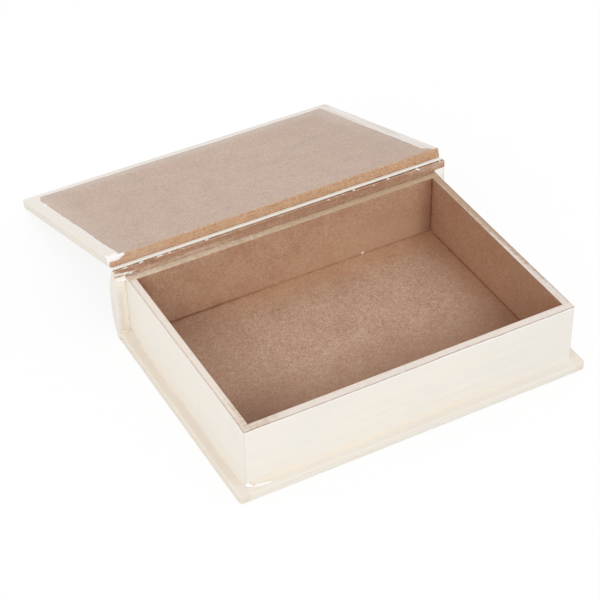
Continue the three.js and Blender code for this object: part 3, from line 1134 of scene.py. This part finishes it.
# %% [markdown]
# ## Cloth hinge
#
# A strip of cotton tape is glued to the spine's round face and to the lid's outer face, and painted over.
# It is half a millimetre thick, and the weave just shows through the paint. It is made as two pieces that
# share a round fold on the hinge line, one for each side, so that it stays whole at every angle.

# %% Finish of the tape
TAPE_WHITE = paint(249, 247, 240)
WEAVE = 0.62


def tape_finish(name, on_lid):
    f = Finish(name)
    place, facing = f.place(), f.facing()
    x, y, z = f.split(place)
    colour, height = cream_paint(f, place, facing, streaks=0.6)
    across = y if on_lid else z
    threads = [f.node("Math", {"operation": "SINE"}, {0: way * (2 * pi / WEAVE)}) for way in (x, across)]
    thick = f.rise(7.0, 4.5, abs(y)) if on_lid else f.rise(HINGE_Z - 3, HINGE_Z - 1.5, z)
    colour = f.tint(thick * 0.9, colour, TAPE_WHITE)
    return f.close(colour, 0.7, height + threads[0] * threads[1] * 0.03)


tape_on_spine = tape_finish("painted_tape_spine", False)
tape_on_lid = tape_finish("painted_tape_lid", True)

# %% Tape on the spine and on the lid
TAPE_THICKNESS = 0.5
TAPE_ON_SPINE = 16.0
GLUE_FILM = 0.2
FOLD_HALF = 0.55
FILLET = 0.06
EVEN_FROM = 3.2
tape_low, tape_high = limits("hinge_tape_spine")
tape_length = tape_high.x - tape_low.x
tape_radius = spine_radius + GLUE_FILM + TAPE_THICKNESS / 2
hinge_angle = asin((HINGE_Z - spine_middle) / tape_radius)


def tape_piece(name, line, material, body, node, matrix=None, seed=0.0, fillet=0.0):
    """A strip with the given middle line, as points (y, z), swept along the spine's length."""
    last = len(line) - 1
    ways = []
    for i in range(last + 1):
        ahead = line[min(i + 1, last)] - line[max(i - 1, 0)]
        ways.append(Vector((-ahead.y, ahead.x)).normalized())
    runs = [(p - line[0]).length for p in line]
    onward = (line[last] - line[last - 1]).normalized()
    start_way = (line[0] - line[1]).normalized()
    rings = []
    for along, inset in stations(tape_length, step=1.2, arris=0.2, steps=2):
        spot = (along, 0, 0)
        reach = wander(spot, (18, 0.5, seed), (3, 0.15, seed + 1))
        bump = wander(spot, (5, 0.10, 41), (1.6, 0.06, 42))
        clot = wander(spot, (7, 0.14, 43), (2.2, 0.06, 44))
        fold = FOLD_HALF + bump - inset
        points = [p.copy() for p in line]
        points[last] = points[last] + onward * reach
        side, other = [], []
        for point, way, run in zip(points, ways, runs):
            half = TAPE_THICKNESS / 2 - inset
            half += (fold - half) * (1 - ease(0.3, 1.8, run))
            swell = (fillet + clot) * ease(2.0, 3.3, run) * ease(7.0, 5.0, run) if fillet else 0.0
            side.append(point + way * (half + swell))
            other.append(point - way * half)
        tip = [points[last] + onward * TAPE_THICKNESS * 0.35]
        root = []
        for k in range(1, 8):
            angle = pi * k / 8
            root.append(points[0] - ways[0] * fold * cos(angle) + start_way * fold * sin(angle))
        outline = side + tip + list(reversed(other)) + root
        rings.append([Vector((along, p.x, p.y)) for p in outline])
    made = bmesh.new()
    skin(made, rings)
    return piece(name, made, material, body, node, matrix)


wrap = [0, 0.25, 0.5, 0.8, 1.2, 1.7, 2.4]
wrap += [EVEN_FROM + (TAPE_ON_SPINE - EVEN_FROM) * k / 13 for k in range(14)]
spine_line = [
    Vector((spine_centre_y + tape_radius * cos(a), spine_middle + tape_radius * sin(a)))
    for a in (hinge_angle - length / tape_radius for length in wrap)
]
tape_piece("hinge_cloth_spine", spine_line, tape_on_spine, "box", "hinge_tape_spine", seed=21.0)

lid_tape_far = min((to_lid @ v.co / MM).y for v in frame["nodes"]["hinge_tape_lid"].data.vertices)
near_fold = [0, 0.25, 0.5, 0.8, 1.2, 1.7, 2.1, 2.5, 2.9, 3.3, 3.8, 4.5, 5.2, 6.0, 7.0]
lid_line = [Vector((-length, 0.0)) for length in near_fold]
lid_line += [lid_line[-1].lerp(Vector((lid_tape_far, 0.0)), k / 8) for k in range(1, 9)]
tape_piece(
    "hinge_cloth_lid", lid_line, tape_on_lid, "lid", "hinge_tape_lid", LID_FRAME, seed=31.0, fillet=FILLET,
)

# %% [markdown]
# ## Dried paint
#
# The painter was not careful at the corners. White paint ran together and dried in lumps: on the lid's
# corner by the hinge, along the spine's top edge, at the foot of the front corner and in the seam of the
# floor. A lump is a few dented balls melted into one skin by remeshing, which gives the soft joins of a
# thick liquid.

# %% Lumps of paint
VOXEL = 0.16


def lump_finish(name, fresh, dusty):
    f = Finish(name)
    place = f.place()
    dirt = f.noise(place / 1.6, detail=3)
    colour = f.tint(f.rise(0.50, 0.72, dirt) * 0.6, fresh, dusty)
    return f.close(colour, 0.4, f.noise(place / 0.8, detail=3) * 0.05)


lump_paint = lump_finish("dried_paint", paint(254, 252, 250), paint(238, 230, 222))
fillet_paint = lump_finish("paint_in_joints", paint(246, 236, 221), paint(240, 228, 211))


def lump(name, spots, body, matrix=None, seed=0.0, material=lump_paint):
    """Lumps of paint as one skin. Each spot is a centre and three radii, in millimetres."""
    balls = bmesh.new()
    for centre, radii in spots:
        middle = Vector(centre)
        for vert in bmesh.ops.create_icosphere(balls, subdivisions=3, radius=1.0)["verts"]:
            dent = 1 + wander(vert.co + middle, (0.8, 0.5, seed))
            vert.co = middle + Vector([vert.co[i] * radii[i] * dent for i in range(3)])
    rough = bpy.data.meshes.new(name + "_rough")
    balls.to_mesh(rough)
    balls.free()
    holder = bpy.data.objects.new(name + "_rough", rough)
    PIECES.objects.link(holder)
    melt = holder.modifiers.new("melt", "REMESH")
    melt.mode, melt.voxel_size = "VOXEL", VOXEL
    settle = holder.modifiers.new("settle", "SMOOTH")
    settle.factor, settle.iterations = 0.5, 3
    graph = bpy.context.evaluated_depsgraph_get()
    melted = bpy.data.meshes.new_from_object(holder.evaluated_get(graph))
    made = bmesh.new()
    made.from_mesh(melted)
    bpy.data.objects.remove(holder)
    bpy.data.meshes.remove(rough)
    bpy.data.meshes.remove(melted)
    return piece(name, made, material, body, None, matrix)


lump("paint_lump_front_corner", [
    ((-126.2, -91.9, 8.5), (1.7, 1.1, 1.7)), ((-124.4, -92.2, 7.6), (2.0, 1.2, 0.9)),
    ((-120.4, -93.4, 7.0), (2.6, 1.0, 0.5)), ((-116.6, -94.2, 7.0), (3.2, 1.2, 0.6)),
    ((-112.6, -94.8, 7.0), (2.6, 0.9, 0.45)),
], "box", seed=51.0)
lump("paint_lump_hinge_left", [
    ((-131.2, 90.9, 58.8), (2.4, 0.30, 0.42)), ((-126.8, 90.9, 58.0), (2.2, 0.28, 0.36)),
    ((-122.6, 90.9, 57.2), (1.8, 0.26, 0.26)), ((-131.4, 90.8, 54.0), (3.0, 0.6, 0.6)),
    ((-128.2, 90.0, 53.9), (2.4, 1.3, 0.7)), ((-134.4, 91.6, 61.9), (0.7, 0.5, 0.30)),
    ((-125.8, 92.0, 62.0), (2.2, 0.5, 0.28)), ((-113.6, 92.3, 62.0), (1.9, 0.5, 0.28)),
    ((-99.0, 92.3, 62.0), (2.6, 0.5, 0.28)), ((-91.5, 92.2, 62.0), (1.4, 0.4, 0.28)),
], "box", seed=52.0)
lump("paint_lump_hinge_right", [
    ((111.7, 92.1, 61.9), (1.1, 0.9, 0.38)), ((112.6, 91.4, 61.5), (0.8, 0.8, 0.70)),
    ((104.5, 93.4, 63.0), (0.9, 0.6, 0.4)), ((131.9, 92.3, 62.0), (0.9, 0.6, 0.30)),
    ((58.0, 92.4, 62.0), (1.2, 0.6, 0.30)), ((-62.0, 92.4, 62.0), (1.4, 0.6, 0.30)),
    ((87.0, 92.2, 62.0), (1.6, 0.5, 0.28)), ((74.0, 91.1, 61.3), (1.2, 0.4, 0.3)),
    ((36.0, 91.3, 61.8), (1.4, 0.4, 0.3)),
], "box", seed=53.0)
lump("paint_drip_back_wall", [
    ((61.5, 84.7, 7.8), (0.75, 0.55, 0.8)), ((60.6, 84.5, 7.2), (0.6, 0.7, 0.45)),
], "box", seed=54.0)
lump("paint_lump_lid_corner", [
    ((-134.5, -4.6, -5.7), (1.4, 1.1, 1.6)), ((-134.9, -4.8, -3.8), (0.7, 0.7, 1.2)),
    ((-130.6, -3.7, -6.4), (3.4, 0.35, 0.9)), ((-126.0, -3.7, -6.6), (2.8, 0.35, 0.7)),
    ((-132.4, -4.5, -6.8), (2.6, 1.1, 0.85)), ((-129.4, -4.7, -7.1), (2.6, 1.5, 0.50)),
    ((-126.2, -4.9, -7.3), (2.4, 1.4, 0.28)), ((-124.2, -5.4, -7.3), (1.2, 1.2, 0.26)),
    ((-134.3, -7.4, -7.3), (1.2, 3.0, 0.5)), ((-131.2, -8.4, -7.3), (2.4, 2.4, 0.35)),
    ((-127.6, -9.0, -7.3), (2.0, 2.2, 0.27)), ((-126.6, -161.0, -7.3), (1.5, 3.4, 0.27)),
], "lid", LID_FRAME, seed=55.0)

# %% Fillets where the covers, the walls and the spine meet
for side, name in ((-1, "head"), (1, "tail")):
    lump(f"paint_fillet_{name}", [
        ((side * 127.5, 90.5, 13.0), (0.55, 0.5, 6.5)), ((side * 127.3, 90.7, 24.0), (0.4, 0.35, 9.0)),
        ((side * 127.3, 90.7, 41.0), (0.45, 0.4, 12.0)), ((side * 127.5, 87.5, 7.3), (0.55, 4.0, 0.5)),
        ((side * 127.4, 80.0, 7.2), (0.35, 5.0, 0.3)), ((side * 130.8, 90.6, 7.1), (4.2, 0.8, 0.8)),
        ((side * 134.5, 90.4, 4.5), (0.9, 0.8, 3.0)),
    ], "box", seed=56.0, material=fillet_paint)

# %% [markdown]
# ## Loose fibres
#
# Bare fibreboard sheds. A few single fibres lie on the floor, each a fine curl a few millimetres long. They
# are swept tubes with their own small bends, from a fixed seed.

# %% Fibres on the floor
def fibre_finish(name, tone, tip):
    f = Finish(name)
    place = f.place()
    colour = f.tint(f.rise(0.4, 0.6, f.noise(place / 0.9)), tone, tip)
    return f.close(colour, 0.8, f.noise(place / 0.2) * 0.02)


def fibres(name, count, seed, material, first=()):
    """Curled tubes on the floor: the given first ones (x, y, heading, length, radius), then random ones."""
    dice = Random(seed)
    spots = list(first)
    while len(spots) < count:
        along, depth = (dice.uniform(4 - room, room - 4) for room in (inner_x, inner_y))
        heading, length = dice.uniform(0, 2 * pi), dice.uniform(1.6, 4.2)
        spots.append((along, depth, heading, length, dice.uniform(0.07, 0.13)))
    made = bmesh.new()
    for along, depth, heading, length, radius in spots:
        bend = dice.uniform(-1.4, 1.4)
        here = Vector((along, depth, COVER_THICKNESS + radius * 0.9))
        rings = []
        for k in range(11):
            t = k / 10
            turn = heading + bend * (t - 0.5)
            onward = Vector((cos(turn), sin(turn), 0))
            aside = Vector((-onward.y, onward.x, 0))
            lift = Vector((0, 0, 0.25 * t * t * dice.uniform(0.6, 1.0)))
            thin = radius * (0.35 + 0.65 * sin(pi * min(0.95, max(0.05, t))))
            middle = here + lift
            angles = [2 * pi * i / 6 for i in range(6)]
            rings.append([middle + aside * thin * cos(a) + Vector((0, 0, thin * sin(a))) for a in angles])
            here = here + onward * length / 10
        skin(made, rings)
    return piece(name, made, material, "box", None)


pale_fibre = fibre_finish("pale_fibre", paint(226, 202, 180), paint(208, 178, 152))
dark_fibre = fibre_finish("dark_fibre", paint(112, 78, 58), paint(140, 102, 78))
fibres("fibres_pale", 16, 7, pale_fibre, [(13.4, 27.5, -0.5, 4.0, 0.2), (13.9, 26.6, -0.9, 2.4, 0.12)])
fibres("fibres_dark", 12, 11, dark_fibre)
